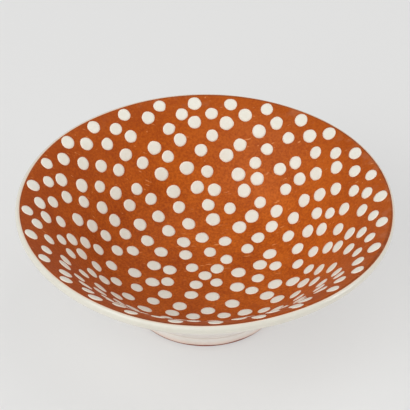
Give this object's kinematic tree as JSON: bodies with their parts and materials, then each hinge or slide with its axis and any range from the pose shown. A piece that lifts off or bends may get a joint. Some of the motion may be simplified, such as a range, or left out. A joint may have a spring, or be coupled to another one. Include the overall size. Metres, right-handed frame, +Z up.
{
  "type": "footed dish",
  "caption": "Wide shallow footed dish of thrown red clay, brown slip inside with rings of cream dots, cream glaze outside.",
  "frame": {"origin": "centre of the foot's standing ring, on the surface that the dish stands on", "axes": "+Z up along the turning axis, out of the open hollow; -Y towards the viewer of the picture"},
  "size_m": [0.28, 0.28, 0.0945],
  "materials": {
    "clay": "matte",
    "slip": "satin",
    "glaze": "gloss",
    "dots": "satin"
  },
  "bodies": {
    "root": {"clay_bowl": "clay", "foot_ring": "clay", "inside_slip": "slip", "outside_glaze": "glaze", "base_glaze": "glaze", "dots_row_1": "dots", "dots_row_2": "dots", "dots_row_3": "dots", "dots_row_4": "dots", "dots_row_5": "dots", "dots_row_6": "dots", "dots_row_7": "dots", "dots_row_8": "dots", "dots_row_9": "dots", "dots_row_10": "dots", "dots_row_11": "dots", "dots_row_12": "dots", "dots_row_13": "dots"}
  },
  "joints": []
}
